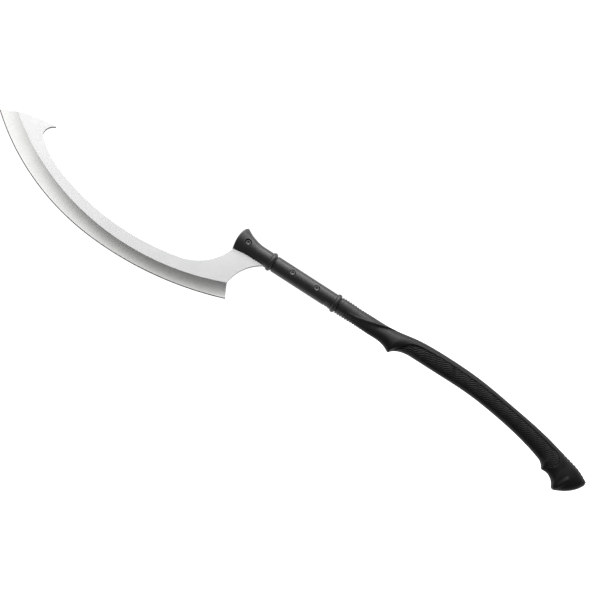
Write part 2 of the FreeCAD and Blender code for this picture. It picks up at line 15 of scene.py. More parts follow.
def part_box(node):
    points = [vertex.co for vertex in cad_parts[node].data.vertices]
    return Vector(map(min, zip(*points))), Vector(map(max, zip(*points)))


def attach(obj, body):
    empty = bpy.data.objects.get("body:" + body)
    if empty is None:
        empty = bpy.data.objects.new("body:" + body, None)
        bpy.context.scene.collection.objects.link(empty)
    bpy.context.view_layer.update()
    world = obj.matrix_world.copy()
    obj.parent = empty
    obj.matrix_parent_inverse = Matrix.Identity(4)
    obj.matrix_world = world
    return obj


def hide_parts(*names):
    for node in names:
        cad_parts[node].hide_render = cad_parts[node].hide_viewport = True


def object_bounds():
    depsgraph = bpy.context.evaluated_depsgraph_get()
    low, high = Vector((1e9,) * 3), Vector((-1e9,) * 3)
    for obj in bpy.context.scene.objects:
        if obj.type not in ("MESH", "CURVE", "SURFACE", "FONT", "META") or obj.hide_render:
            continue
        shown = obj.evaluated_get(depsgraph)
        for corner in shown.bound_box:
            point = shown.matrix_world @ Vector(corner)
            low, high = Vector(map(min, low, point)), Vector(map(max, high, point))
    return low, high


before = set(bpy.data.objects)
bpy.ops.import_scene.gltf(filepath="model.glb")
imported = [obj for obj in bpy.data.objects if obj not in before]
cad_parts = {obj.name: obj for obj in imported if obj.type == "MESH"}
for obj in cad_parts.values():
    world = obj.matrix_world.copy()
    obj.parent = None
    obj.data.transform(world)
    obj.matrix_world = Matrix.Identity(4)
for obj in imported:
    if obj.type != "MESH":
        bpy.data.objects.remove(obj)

CAD_LOW, CAD_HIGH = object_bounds()
MM = 0.001

# ---------------------------------------------------------------- outlines of the handle

# Oval sections of the flared head: height, front X, back X, half thickness.
HEAD_SECTIONS = [
    (350.0, -13.6, 13.6, 13.6), (362.0, -13.6, 13.6, 13.6), (374.0, -13.8, 14.0, 13.7),
    (384.0, -14.0, 16.3, 14.3), (395.0, -15.0, 20.3, 15.1), (405.0, -16.6, 25.9, 15.9),
    (416.0, -18.3, 32.0, 16.6),
]

# End of the head: its dome, its back corner and its rims, as (X, height).
HEAD_DOME = [(-17.6, 409.6), (0.5, 412.2), (17.6, 409.2)]
HEAD_CORNER = [(17.6, 409.2), (22.6, 406.6), (25.0, 401.9)]
HEAD_FRONT_RIM = (-40.0, 403.0)
HEAD_BACK_RIM = (40.0, 397.0)
HEAD_WALL_FOOT = 385.0
HEAD_ROUNDING = 2.2
HEAD_MIDDLE_HEIGHT = 405.0
HEAD_END_REACH = 0.985
RIM_PASSES = 12
HEAD_END_ROWS = 10
HEAD_RIM_ROWS = 8
HEAD_WALL_ROWS = 16

# Radius of the shaft with its beads, as (radius, height), from the head down.
UPPER_BEAD = [(13.6, 349.9), (15.9, 345.2), (12.9, 341.6)]
UPPER_GROOVE = [(12.1, 341.1), (12.1, 340.2), (13.6, 339.6)]
LOWER_BEAD = [(13.6, 227.5), (15.9, 222.7), (13.3, 219.5)]
LOWER_GROOVE = [(12.4, 219.1), (12.4, 218.2), (14.3, 217.6)]
NECK_TOP = (14.3, 216.0)

# Half thickness of the grip, as (half thickness, height).
HALF_THICKNESS = [
    (14.0, 212.0), (13.4, 150.0), (13.0, 50.0), (12.9, -50.0), (12.7, -150.0), (13.2, -205.0),
    (13.3, -228.0), (12.2, -244.5), (9.8, -255.0), (6.2, -262.0), (2.0, -266.2),
]

# Front and back edges of the grip, in stretches that are each a three-point arc or a curve.
FRONT_GRIP = [
    [(-14.4, 212.0), (-14.2, 150.0)],
    [(-14.2, 150.0), (-15.2, 129.0), (-17.6, 121.5), (-21.7, 113.5)],
    [(-21.7, 113.5), (-21.9, 111.6), (-20.6, 110.0)],
    [(-20.6, 110.0), (-15.8, 105.4), (-10.5, 96.0), (-7.9, 85.0), (-7.3, 74.0)],
    [(-7.3, 74.0), (-7.1, 20.0), (-7.4, -28.0), (-12.1, -78.0), (-19.4, -123.0),
     (-29.0, -163.0), (-34.2, -179.6)],
    [(-34.2, -179.6), (-38.2, -186.9), (-45.8, -192.4)],
    [(-45.8, -192.4), (-47.1, -193.9), (-47.3, -195.8)],
    [(-47.3, -195.8), (-47.0, -202.2)],
    [(-47.0, -202.2), (-50.8, -211.4), (-62.4, -220.2)],
    [(-62.4, -220.2), (-65.0, -223.9), (-64.1, -229.4)],
    [(-64.1, -229.4), (-57.2, -242.4), (-46.7, -255.6), (-37.4, -262.9), (-31.6, -266.2)],
]
BACK_GRIP = [
    [(14.6, 212.0), (14.7, 150.0)],
    [(14.7, 150.0), (15.2, 129.0), (16.9, 113.0), (20.0, 96.0), (23.0, 78.0), (25.2, 49.0),
     (25.8, 10.0), (24.5, -28.0), (21.2, -62.0), (15.8, -100.0), (10.2, -138.0),
     (3.8, -173.0), (-1.3, -195.0), (-9.2, -226.0), (-14.4, -244.5), (-19.9, -256.2),
     (-23.7, -263.0), (-25.6, -266.2)],
]

# Outline of a grip pad: its S-shaped top runs from front to back, its front runs back up.
PAD_TOP = [(-10.6, 102.6), (-5.6, 97.6), (2.4, 91.6), (8.6, 82.6), (12.6, 67.6)]
PAD_BACK = [
    (12.6, 67.6), (14.8, 40.0), (15.2, 5.0), (13.0, -40.0), (7.6, -91.0), (-2.0, -150.0),
    (-11.6, -193.0),
]
PAD_FOOT = [(-11.6, -193.0), (-23.5, -209.6), (-40.6, -197.0)]
PAD_TALON = [(-40.6, -197.0), (-34.5, -188.4), (-30.6, -180.0)]
PAD_FRONT = [
    (-30.6, -180.0), (-25.8, -163.0), (-16.2, -123.0), (-8.9, -78.0), (-4.3, -28.0),
    (-3.9, 20.0), (-4.1, 74.0),
]
PAD_THROAT = [(-4.1, 74.0), (-4.7, 85.0), (-7.2, 96.0), (-10.6, 102.6)]

# Soft crest on the pommel's side, and the crease under the lip in front of the pad's top.
POMMEL_CREST = [(-63.0, -224.5), (-52.0, -231.0), (-42.0, -236.0)]
POMMEL_CREST_HEIGHT = 1.6
POMMEL_CREST_SPREAD = 3.8
POMMEL_CREST_FADE = 8.0
LIP_CREASE = [(-20.0, 110.3), (-15.4, 106.6), (-10.6, 102.6)]
LIP_CREASE_DEPTH = 1.1
LIP_CREASE_SPREAD = 0.9

# Rows of the handle's mesh in stretches: top, foot, pitch.
ROW_STRETCHES = [
    (385.0, 352.0, 1.5), (352.0, 338.8, 0.3), (338.8, 228.6, 2.0), (228.6, 217.0, 0.3),
    (217.0, 180.0, 0.5), (180.0, 126.0, 0.8), (126.0, -212.0, 0.75), (-212.0, -262.0, 0.6),
    (-262.0, -265.7, 0.3),
]
COLUMNS = 92
SEAM_ANGLE = 0.022
PARTING_GAP = 0.001
PARTING_GROOVE_DEPTH = 0.3
PARTING_GROOVE_SPREAD = 0.45
BLADE_RELIEF_DEPTH = 0.8
BLADE_RELIEF_BELOW = 2
BLADE_RELIEF_EDGE = (3.3, 2.9)

# Bed that a pad lies in: deeper below its lip, with a soft edge, and how far round the pad
# its form is worked out.
BED_DEPTH = 2.4
BED_LIP_DEPTH = 1.2
BED_LIP_REACH = 9.0
BED_EDGE = (-0.5, 0.6)
BED_MARGIN_BELOW = 5
BED_MARGIN_ABOVE = 11

# A pad: how far it lies below the handle's oval form, its rolled border and its mesh.
PAD_SINK = 0.2
PAD_LIP_SINK = 1.6
PAD_LIP_REACH = 8.0
PAD_ROLL = 0.9
PAD_ROLL_EDGE = (-0.2, 1.1)
PAD_CLEARANCE = 0.15
PAD_END_MARGIN = 0.25
PAD_ROW_PITCH = 0.45
PAD_COLUMNS = 46
PAD_UNDER_COLUMNS = 10

# Wavy ridges of a pad. Waves are (height, length, phase), and the swell is (height, reach).
RIDGE_DEPTH = 0.95
RIDGE_FOOT_SHARE = 0.4
RIDGE_FADE = (-200.0, 30.0)
RIDGE_BORDER = (0.6, 2.0)
RIDGE_PITCH = 3.4
RIDGE_ACROSS = (0.80, -0.26, 0.54)
RIDGE_ALONG = (0.54, -0.84)
RIDGE_WAVES = [(1.6, 34.0, 0.0), (0.7, 13.0, 1.1)]
RIDGE_SWELL = (4.0, 20.0)

# Twisted neck: the crest between its upper facet and its scoop, as (angle from the back, height).
CREST = [(18.0, 119.0), (38.0, 129.0), (54.0, 136.0), (75.0, 149.0), (93.0, 166.5),
         (110.0, 184.0), (116.0, 206.0)]
SCOOP_DEPTH = [(0.0, 100.0), (0.7, 108.0), (2.4, 122.0), (3.5, 145.0), (2.9, 175.0),
               (1.5, 195.0), (0.0, 208.0)]
FACET_DEPTH = [(0.0, 122.0), (0.9, 150.0), (0.9, 185.0), (0.0, 208.0)]
SCOOP_END_ANGLE = 170.0
SCOOP_LEAN = 0.45
CREST_HEIGHT = 0.45
CREST_SPREAD = 0.065
CREST_TOP_FADE = (208.0, 190.0)

# Thumb notches, which end softly at the sides and grow shallower down the neck.
NOTCH_HALF_WIDTH = 1.6
NOTCH_DEPTH = 1.1
NOTCH_REACH = 9.5
NOTCH_RUNOUT = 1.2
NECK_NOTCH_FADE = (150.0, 192.0)
POMMEL_NOTCH_SHARE = 0.55
NECK_NOTCHES = [214.5 - 4.7 * number for number in range(12)]
SHAFT_NOTCHES = [238.2, 233.5]
POMMEL_NOTCHES = [-216.0 - 6.2 * number for number in range(8)]

# ---------------------------------------------------------------- outlines of the blade

EDGE_JOIN = (-128.3, 601.5)
EDGE_LOWER_CENTRE = (405.6, 566.9)
EDGE_LOWER_RADIUS = 535.0
EDGE_UPPER_RADIUS = 415.1
TIP_HEIGHT = 841.0
HEEL_HEIGHT = 375.3
GRIND_CENTRE = (311.9, 558.7)
GRIND_LINE_RADIUS = 419.0
GRIND_DEPTH_RADIUS = 443.0
INNER_CENTRE = (321.5, 566.1)
INNER_RADIUS = 409.8
ROOT_RADIUS = 88.9
ROOT_JOIN_HEIGHT = 473.4
CROOK_RADIUS = 165.4
CROOK_JOIN_HEIGHT = 703.7
NOTCH_HEIGHT = 762.0
SPUR_HOLLOW = (-21.0, 762.6)
SPUR_TIP = (-6.3, 751.6)
END_EDGE_MIDDLE = (-14.0, 799.0)
HEEL_INNER = (-70.3, 387.0)
CHOIL_MIDDLE = (-41.5, 379.0)
CHOIL_END = (-13.0, 352.5)
TANG = [(-9.0, 346.0), (-9.0, 244.0), (-5.0, 240.0), (5.0, 240.0), (9.0, 244.0), (9.0, 382.0),
        (12.5, 386.0), (12.5, 400.6)]
HALF_PLATE = 2.5
HALF_EDGE = 0.35
SHARPENED_WIDTH = 1.4
HALF_SHARP = 0.04
SPINE_BEVEL = 0.35

# Mesh of the blade: columns along the edge, rows across the hollow grind as shares of its
# width, and the share of its length that bows to meet the end edge.
BLADE_COLUMNS = 240
HOLLOW_SHARES = [0, 0.03, 0.08, 0.15, 0.24, 0.34, 0.45, 0.57, 0.7, 0.84]
END_BOW_SHARE = 0.1
FINE_POINTS = 200
FLAT_NORMAL = 0.9999

# Material slots of the blade, whose flats have the first slot, 0.
HOLLOW, CUT = 1, 2

# ---------------------------------------------------------------- sides and fasteners

SIDES = {"left": -1, "right": 1}
SEAT_RADIUS = {"lower": 4.8, "middle": 4.8, "top": 5.3}
SEAT_FLOOR = 8.3
SEAT_CORE = 0.02
SEAT_FLARE = 0.5
SEAT_MOUTH_WIDTH = 3.0
SEAT_MOUTH_HEIGHT = 4.0
SEAT_FACETS = 64
SLEEVE_HOLE_RADIUS = 3.5
SLEEVE_HOLE_REACH = 6.0
FASTENER_FACETS = 48

# Face of a screw or nut from its socket's rim outwards, as (radius, height above the face).
SCREW_FACE = [(2.2, -0.25), (2.4, 0.0), (3.7, 0.0), (4.2, -0.15), (4.5, -0.6)]
SCREW_HEAD_RADIUS = 4.5
SCREW_HEAD_FLOOR = 8.4
SCREW_CORE = 0.03
SOCKET_RADIUS = 2.0
SOCKET_DEPTH = 2.1
SOCKET_CONE = 0.5
SHANK_RADIUS = {"screw": 2.5, "sleeve_nut": 3.5}
NUT_BORE_RADIUS = 2.55
NUT_BORE_FLOOR = 1.5

SHARP_ANGLE = math.radians(38)

# ---------------------------------------------------------------- curves


def arc_points(start, middle, end, count=40):
    """Points along the circle through three points."""
    (x1, z1), (x2, z2), (x3, z3) = start, middle, end
    s1, s2, s3 = x1**2 + z1**2, x2**2 + z2**2, x3**2 + z3**2
    twice_area = 2 * (x1 * (z2 - z3) + x2 * (z3 - z1) + x3 * (z1 - z2))
    centre_x = (s1 * (z2 - z3) + s2 * (z3 - z1) + s3 * (z1 - z2)) / twice_area
    centre_z = (s1 * (x3 - x2) + s2 * (x1 - x3) + s3 * (x2 - x1)) / twice_area
    first = math.atan2(z1 - centre_z, x1 - centre_x)
    last = math.atan2(z3 - centre_z, x3 - centre_x)
    sweep = (last - first) % math.tau if twice_area > 0 else -((first - last) % math.tau)
    angle = first + np.linspace(0, sweep, count)
    radius = math.hypot(x1 - centre_x, z1 - centre_z)
    return np.column_stack([centre_x + radius * np.cos(angle), centre_z + radius * np.sin(angle)])


def curve_points(points, count=90):
    """Points along a smooth cubic through the given points."""
    p = np.array(points, float)
    step = np.hypot(*np.diff(p, axis=0).T)
    t = np.concatenate([[0], np.cumsum(step)])
    matrix = np.eye(len(t))
    right = np.zeros((len(t), 2))
    for i in range(1, len(t) - 1):
        matrix[i, i - 1:i + 2] = step[i - 1], 2 * (step[i - 1] + step[i]), step[i]
        right[i] = 6 * ((p[i + 1] - p[i]) / step[i] - (p[i] - p[i - 1]) / step[i - 1])
    bend = np.linalg.solve(matrix, right)
    at = np.linspace(0, t[-1], count)
    k = np.clip(np.searchsorted(t, at) - 1, 0, len(t) - 2)
    a = ((t[k + 1] - at) / step[k])[:, None]
    b = 1 - a
    swing = ((a**3 - a) * bend[k] + (b**3 - b) * bend[k + 1]) * (step[k] ** 2)[:, None] / 6
    return a * p[k] + b * p[k + 1] + swing


def path_points(stretches):
    """Points along stretches that are each a three-point arc or a curve."""
    made = [arc_points(*s) if len(s) == 3 else curve_points(s) for s in stretches]
    return np.vstack(made)


def value_at(points, height):
    """First coordinate of a line of (value, height) points, at any heights."""
    ordered = np.array(sorted(np.asarray(points).tolist(), key=lambda point: point[1]))
    return np.interp(height, ordered[:, 1], ordered[:, 0])


def ramp(start, end, value):
    """Smooth step from 0 at start to 1 at end."""
    share = np.clip((value - start) / (end - start), 0, 1)
    return share * share * (3 - 2 * share)


def distance_to(points, x, z):
    """Distance from each place to a line of points."""
    best = np.full(x.shape, 1e9)
    for (x0, z0), (x1, z1) in zip(points, points[1:]):
        dx, dz = x1 - x0, z1 - z0
        share = np.clip(((x - x0) * dx + (z - z0) * dz) / (dx * dx + dz * dz + 1e-12), 0, 1)
        best = np.minimum(best, np.hypot(x - x0 - share * dx, z - z0 - share * dz))
    return best


def distance_inside(outline, x, z):
    """Distance to a closed outline, positive inside it."""
    inside = np.zeros(x.shape, bool)
    for (x0, z0), (x1, z1) in zip(outline, np.roll(outline, -1, axis=0)):
        if z0 != z1:
            crosses = (z0 > z) != (z1 > z)
            inside ^= crosses & (x < x0 + (z - z0) * (x1 - x0) / (z1 - z0))
    away = distance_to(np.vstack([outline, outline[:1]]), x, z)
    return np.where(inside, away, -away)


# ---------------------------------------------------------------- the handle's surface


def shaft_profile():
    """Radius of the shaft and its beads, as (radius, height) points from the head down."""
    return np.vstack([
        arc_points(*UPPER_BEAD), UPPER_GROOVE, arc_points(*LOWER_BEAD), LOWER_GROOVE, [NECK_TOP],
    ])


SHAFT = shaft_profile()
SHAFT_FRONT = SHAFT * [-1, 1]
HEAD = np.array(HEAD_SECTIONS)[::-1]
FRONT_LINE = np.vstack([curve_points(HEAD[:, [1, 0]]), SHAFT_FRONT, path_points(FRONT_GRIP)])
BACK_LINE = np.vstack([curve_points(HEAD[:, [2, 0]]), SHAFT, path_points(BACK_GRIP)])
HALF_LINE = np.vstack([curve_points(HEAD[:, [3, 0]]), SHAFT, curve_points(HALF_THICKNESS)])
HEAD_END = np.vstack([
    [HEAD_FRONT_RIM], arc_points(*HEAD_DOME), arc_points(*HEAD_CORNER), [HEAD_BACK_RIM],
])
PAD_OUTLINE = path_points([PAD_TOP, PAD_BACK, PAD_FOOT, PAD_TALON, PAD_FRONT, PAD_THROAT])
PAD_TOP_LINE = curve_points(PAD_TOP)
PAD_HEIGHTS = (PAD_OUTLINE[:, 1].min(), PAD_OUTLINE[:, 1].max())


def section_at(height):
    """Middle X, half width and half thickness of the handle at any heights."""
    front = value_at(FRONT_LINE, height)
    back = value_at(BACK_LINE, height)
    return (front + back) / 2, (back - front) / 2, value_at(HALF_LINE, height)


def surface(angle, height, depth=0.0):
    """Points of the left side, angle 0 at the back and pi at the front, sunk by a depth."""
    middle, wide, thick = section_at(height)
    normal_x, normal_y = np.cos(angle) / wide, np.sin(angle) / thick
    length = np.hypot(normal_x, normal_y)
    x = middle + wide * np.cos(angle) - depth * normal_x / length
    y = -thick * np.sin(angle) + depth * normal_y / length
    return np.stack([x, y, np.broadcast_to(height, x.shape)], axis=-1)


def bed_depth(top_distance):
    """Depth of the bed under a grip pad, deeper below the lip at the pad's top."""
    return BED_DEPTH + BED_LIP_DEPTH * np.exp(-top_distance / BED_LIP_REACH)


def notches(points, heights, edges):
    """Depth of round thumb notches across the given edges of the handle."""
    x, y, z = points[..., 0], points[..., 1], points[..., 2]
    rise = np.zeros(z.shape)
    for height in heights:
        rise = np.maximum(rise, 1 - ((z - height) / NOTCH_HALF_WIDTH) ** 2)
    middle = section_at(z)[0]
    on_edge = np.zeros(z.shape)
    if "front" in edges:
        on_edge += x < middle
    if "back" in edges:
        on_edge += x > middle
    within = ramp(NOTCH_REACH, NOTCH_REACH - NOTCH_RUNOUT, np.abs(y))
    return NOTCH_DEPTH * rise * on_edge * within


def neck_twist(angle, height):
    """Depth of the neck's flat upper facet and of the scoop in front of its crest."""
    crest = np.radians(value_at(CREST, height))
    behind = np.clip(angle / crest, 0, 1)
    facet = value_at(FACET_DEPTH, height) * np.sin(math.pi * behind)
    share = np.clip((angle - crest) / (math.radians(SCOOP_END_ANGLE) - crest), 0, 1)
    scoop = value_at(SCOOP_DEPTH, height) * np.sin(math.pi * share**SCOOP_LEAN)
    ridge = CREST_HEIGHT * np.exp(-(((angle - crest) / CREST_SPREAD) ** 2))
    ridge *= ramp(CREST[0][1], CREST[2][1], height) * ramp(*CREST_TOP_FADE, height)
    return facet + scoop - ridge


def shell_depth(angle, height):
    """How far the moulded shell lies below its oval form."""
    points = surface(angle, height)
    x, y, z = points[..., 0], points[..., 1], points[..., 2]
    depth = neck_twist(angle, z)
    near_pad = (z > PAD_HEIGHTS[0] - BED_MARGIN_BELOW) & (z < PAD_HEIGHTS[1] + BED_MARGIN_ABOVE)
    near_x, near_z = x[near_pad], z[near_pad]
    inside = distance_inside(PAD_OUTLINE, near_x, near_z)
    below_lip = distance_to(PAD_TOP_LINE, near_x, near_z)
    depth[near_pad] += bed_depth(below_lip) * ramp(*BED_EDGE, inside)
    crease = distance_to(LIP_CREASE, near_x, near_z) / LIP_CREASE_SPREAD
    depth[near_pad] += LIP_CREASE_DEPTH * np.exp(-(crease**2)) * (inside < 0)

    depth += notches(points, NECK_NOTCHES, ("front", "back")) * ramp(*NECK_NOTCH_FADE, z)
    depth += notches(points, SHAFT_NOTCHES, ("front",))
    depth += POMMEL_NOTCH_SHARE * notches(points, POMMEL_NOTCHES, ("back",))
    crest = np.exp(-((distance_to(POMMEL_CREST, x, z) / POMMEL_CREST_SPREAD) ** 2))
    depth -= POMMEL_CREST_HEIGHT * crest * ramp(0.0, POMMEL_CREST_FADE, -y)
    depth += PARTING_GROOVE_DEPTH * np.exp(-((y / PARTING_GROOVE_SPREAD) ** 2))
    blade_slot = (z > CHOIL_END[1] - BLADE_RELIEF_BELOW) & (angle > math.pi / 2)
    return depth + BLADE_RELIEF_DEPTH * blade_slot * ramp(*BLADE_RELIEF_EDGE, np.abs(y))


def stretch_levels(stretches):
    """Heights of the rows in the given stretches, from the top down."""
    levels = [stretches[0][0]]
    for top, foot, pitch in stretches:
        steps = math.ceil((top - foot) / pitch)
        levels += [top - (top - foot) * (number + 1) / steps for number in range(steps)]
    return np.array(levels)


def head_rows(angle):
    """Rows of the head from the middle of its end, over the rounded rim, down its wall."""
    rim = np.full(angle.shape, HEAD_MIDDLE_HEIGHT)
    for _ in range(RIM_PASSES):
        rim = np.interp(surface(angle, rim)[:, 0], HEAD_END[:, 0], HEAD_END[:, 1])
    corner = surface(angle, rim)
    middle = np.array([section_at(HEAD_MIDDLE_HEIGHT)[0], 0.0, 0.0])

    def on_end(share):
        """Place on the domed end, a share of the way from the rim to the middle."""
        place = corner + (middle - corner) * share[:, None]
        place[:, 2] = np.interp(place[:, 0], HEAD_END[:, 0], HEAD_END[:, 1])
        return place

    reach = np.hypot(*(corner - middle)[:, :2].T)
    inner = HEAD_ROUNDING / reach
    rows = [
        on_end(inner + (HEAD_END_REACH - inner) * share)
        for share in np.linspace(1, 0, HEAD_END_ROWS)
    ]
    wall = rim - HEAD_ROUNDING
    below = surface(angle, wall, shell_depth(angle, wall))
    for t in np.linspace(0, 1, HEAD_RIM_ROWS)[1:]:
        rows.append((1 - t) ** 2 * on_end(inner) + 2 * t * (1 - t) * corner + t * t * below)
    for share in np.linspace(0, 1, HEAD_WALL_ROWS)[1:-1]:
        height = wall + (HEAD_WALL_FOOT - wall) * share
        rows.append(surface(angle, height, shell_depth(angle, height)))
    return np.array(rows)


# ---------------------------------------------------------------- mesh helpers


def add_object(name, data):
    """Object of the given data, put in the scene."""
    made = bpy.data.objects.new(name, data)
    bpy.context.scene.collection.objects.link(made)
    return made


def new_object(name, mesh, materials):
    """Object of a finished mesh, smooth except at its sharp edges."""
    for material in materials:
        mesh.materials.append(material)
    mesh.shade_smooth()
    mesh.set_sharp_from_angle(angle=SHARP_ANGLE)
    return add_object(name, mesh)


def mesh_from(name, points, faces):
    """Mesh in metres from points in millimetres."""
    mesh = bpy.data.meshes.new(name)
    mesh.from_pydata((np.asarray(points) * MM).tolist(), [], faces)
    mesh.validate()
    shape = bmesh.new()
    shape.from_mesh(mesh)
    bmesh.ops.recalc_face_normals(shape, faces=shape.faces)
    shape.to_mesh(mesh)
    shape.free()
    return mesh


def tube_faces(rows, columns):
    """Faces of rings joined one to the next, with both ends closed."""
    faces = []
    for row in range(rows - 1):
        here, below = row * columns, (row + 1) * columns
        for column in range(columns):
            ahead = (column + 1) % columns
            faces.append((here + column, here + ahead, below + ahead, below + column))
    faces.append(tuple(range(columns)))
    faces.append(tuple(reversed(range((rows - 1) * columns, rows * columns))))
    return faces


def lathe(name, profile, sides, hexed=()):
    """Closed solid turned about +Y from (radius, y) points; rows in hexed are hexagons."""
    angles = np.arange(sides) * math.tau / sides
    hexagon = math.cos(math.pi / 6) / np.cos((angles % (math.pi / 3)) - math.pi / 6)
    rings = []
    for number, (radius, y) in enumerate(profile):
        reach = radius * (hexagon if number in hexed else np.ones(sides))
        x, z = reach * np.cos(angles), reach * np.sin(angles)
        rings.append(np.column_stack([x, np.full(sides, y), z]))
    return mesh_from(name, np.vstack(rings), tube_faces(len(profile), sides))


def mirrored(points, side):
    """Points of the left side, or their mirror image on the right."""
    return points * [1, -side, 1]


def cut_away(made, cutters):
    """Takes the cutters' forms out of an object and removes them."""
    for number, cutter in enumerate(cutters):
        boolean = made.modifiers.new(f"cut_{number}", "BOOLEAN")
        boolean.object = cutter
        boolean.solver = "EXACT"
    depsgraph = bpy.context.evaluated_depsgraph_get()
    mesh = bpy.data.meshes.new_from_object(made.evaluated_get(depsgraph), depsgraph=depsgraph)
    made.modifiers.clear()
    made.data = mesh
    for cutter in cutters:
        bpy.data.objects.remove(cutter)
    mesh.set_sharp_from_angle(angle=SHARP_ANGLE)


def new_cutter(name, profile, x, z, sides):
    """Turned form at a place on the blade's plane, for cutting away."""
    cutter = add_object(name, lathe(name, profile, sides))
    cutter.location = (x, 0, z)
    return cutter


def middle_of(node):
    """Middle of a CAD node's box."""
    low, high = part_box(node)
    return (low + high) / 2


def place(made, node, slot):
    """Rides a piece on the one body and hides the CAD node that it stands for."""
    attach(made, "root")
    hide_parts(node)


# ---------------------------------------------------------------- materials

# Part of a noise's range that is spread over a material's colours and roughness.
NOISE_SPAN = (0.3, 0.7)

# Painted highlight on convex edges: how much it brightens the colour, how far it shifts the colour,
# and the convexity at which it starts and is full.
EDGE_HIGHLIGHT_LIFT = 1.8
EDGE_HIGHLIGHT_SHIFT = 1.2
EDGE_HIGHLIGHT_SPAN = (0.53, 0.62)

# Scales are in noise cells a metre, and depths in metres.
FLOW_SCALE = 90.0
FLOW_DEPTH = 0.00025
FLOW_STRENGTH = 0.35
GRAIN_STRENGTH = 0.8
CLOUD_SCALE = 28.0
SATIN_SCALE = 2600.0
SATIN_DEPTH = 0.0000014
GRIND_SCALE = 900.0
GRIND_LINE_DEPTH = 0.000004
GRIND_STRETCH = 0.02
BEVEL_SPAN = (0, 0.45)

# Heights in metres between which the shells turn darker and duller towards the grip: painted shade,
# with a weaker reflection, for light that falls off towards the pommel.
PAINTED_SHADE_SPAN = (0.10, 0.26)
PAINTED_GRIP_SHADE = 0.32
GRIP_SPECULAR = 0.38
SHAFT_SPECULAR = 0.95


def link_noise(tree, vector, scale, detail, roughness=0.5):
    """Noise texture on a vector; returns its value."""
    noise = tree.nodes.new("ShaderNodeTexNoise")
    noise.inputs["Scale"].default_value = scale
    noise.inputs["Detail"].default_value = detail
    noise.inputs["Roughness"].default_value = roughness
    tree.links.new(vector, noise.inputs["Vector"])
    return noise.outputs["Fac"]


def link_range(tree, value, low, high, source=NOISE_SPAN):
    """Value spread from a source range over another range."""
    spread = tree.nodes.new("ShaderNodeMapRange")
    spread.inputs["From Min"].default_value = source[0]
    spread.inputs["From Max"].default_value = source[1]
    spread.inputs["To Min"].default_value = low
    spread.inputs["To Max"].default_value = high
    tree.links.new(value, spread.inputs["Value"])
    return spread.outputs["Result"]


def link_bump(tree, height, distance, strength=1.0, normal=None):
    """Bump of a height value, on top of another bump if one is given."""
    bump = tree.nodes.new("ShaderNodeBump")
    bump.inputs["Distance"].default_value = distance
    bump.inputs["Strength"].default_value = strength
    tree.links.new(height, bump.inputs["Height"])
    if normal is not None:
        tree.links.new(normal, bump.inputs["Normal"])
    return bump.outputs["Normal"]


def link_math(tree, operation, value, other):
    """Math node on a value and on another value or a number."""
    node = tree.nodes.new("ShaderNodeMath")
    node.operation = operation
    tree.links.new(value, node.inputs[0])
    if isinstance(other, float):
        node.inputs[1].default_value = other
    else:
        tree.links.new(other, node.inputs[1])
    return node.outputs["Value"]


def link_colour(tree, value, dark, light, shader):
    """Base colour between two colours by a value, and brighter above the noise's span, which the
    painted edge highlight of moulded surfaces reaches.
    """
    colours = tree.nodes.new("ShaderNodeValToRGB")
    colours.color_ramp.elements[0].position = NOISE_SPAN[0]
    colours.color_ramp.elements[0].color = (*dark, 1)
    colours.color_ramp.elements[1].position = NOISE_SPAN[1]
    colours.color_ramp.elements[1].color = (*light, 1)
    tone_and_edge_highlight = colours.color_ramp.elements.new(1.0)
    tone_and_edge_highlight.color = (*(min(1.0, part * EDGE_HIGHLIGHT_LIFT) for part in light), 1)
    tree.links.new(value, colours.inputs["Fac"])
    tree.links.new(colours.outputs["Color"], shader.inputs["Base Color"])


def new_material(name, **sockets):
    """Material with its shader's uniform values set; returns it, its tree, shader and place."""
    material = bpy.data.materials.new(name)
    material.use_nodes = True
    tree = material.node_tree
    shader = tree.nodes["Principled BSDF"]
    for socket, value in sockets.items():
        shader.inputs[socket.replace("_", " ")].default_value = value
    where = tree.nodes.new("ShaderNodeTexCoord").outputs["Object"]
    return material, tree, shader, where


def moulded_material(name, dark, light, rough, grain_size, grain_depth, **sockets):
    """Moulded or coated surface: fine grain, soft flow marks, uneven gloss and a painted highlight
    on its convex edges.
    """
    material, tree, shader, where = new_material(name, **sockets)
    grain = link_noise(tree, where, 1 / grain_size, 3.0, 0.6)
    flow = link_noise(tree, where, FLOW_SCALE, 3.0)
    # Painted highlight: convex edges are lightened by their pointiness.
    point = tree.nodes.new("ShaderNodeNewGeometry").outputs["Pointiness"]
    edge_highlight = link_range(tree, point, 0.0, EDGE_HIGHLIGHT_SHIFT, EDGE_HIGHLIGHT_SPAN)
    tone_and_edge_highlight = link_math(tree, "ADD", link_range(tree, flow, *NOISE_SPAN), edge_highlight)
    link_colour(tree, tone_and_edge_highlight, dark, light, shader)
    tree.links.new(link_range(tree, flow, *rough), shader.inputs["Roughness"])
    soft = link_bump(tree, flow, FLOW_DEPTH, FLOW_STRENGTH)
    both = link_bump(tree, grain, grain_depth, GRAIN_STRENGTH, soft)
    tree.links.new(both, shader.inputs["Normal"])
    return material


def grinding_lines(tree, where):
    """Place by angle round the grind's centre, so that noise on it makes lines across the bevel."""
    centre = tree.nodes.new("ShaderNodeVectorMath")
    centre.operation = "SUBTRACT"
    centre.inputs[1].default_value = (GRIND_CENTRE[0] * MM, 0, GRIND_CENTRE[1] * MM)
    tree.links.new(where, centre.inputs[0])
    parts = tree.nodes.new("ShaderNodeSeparateXYZ")
    tree.links.new(centre.outputs["Vector"], parts.inputs["Vector"])
    outward = link_math(tree, "MULTIPLY", parts.outputs["X"], -1.0)
    turn = link_math(tree, "ARCTAN2", parts.outputs["Z"], outward)
    lines = tree.nodes.new("ShaderNodeCombineXYZ")
    tree.links.new(turn, lines.inputs["X"])
    along = link_range(tree, outward, 0, GRIND_STRETCH, BEVEL_SPAN)
    tree.links.new(along, lines.inputs["Y"])
    return lines.outputs["Vector"]


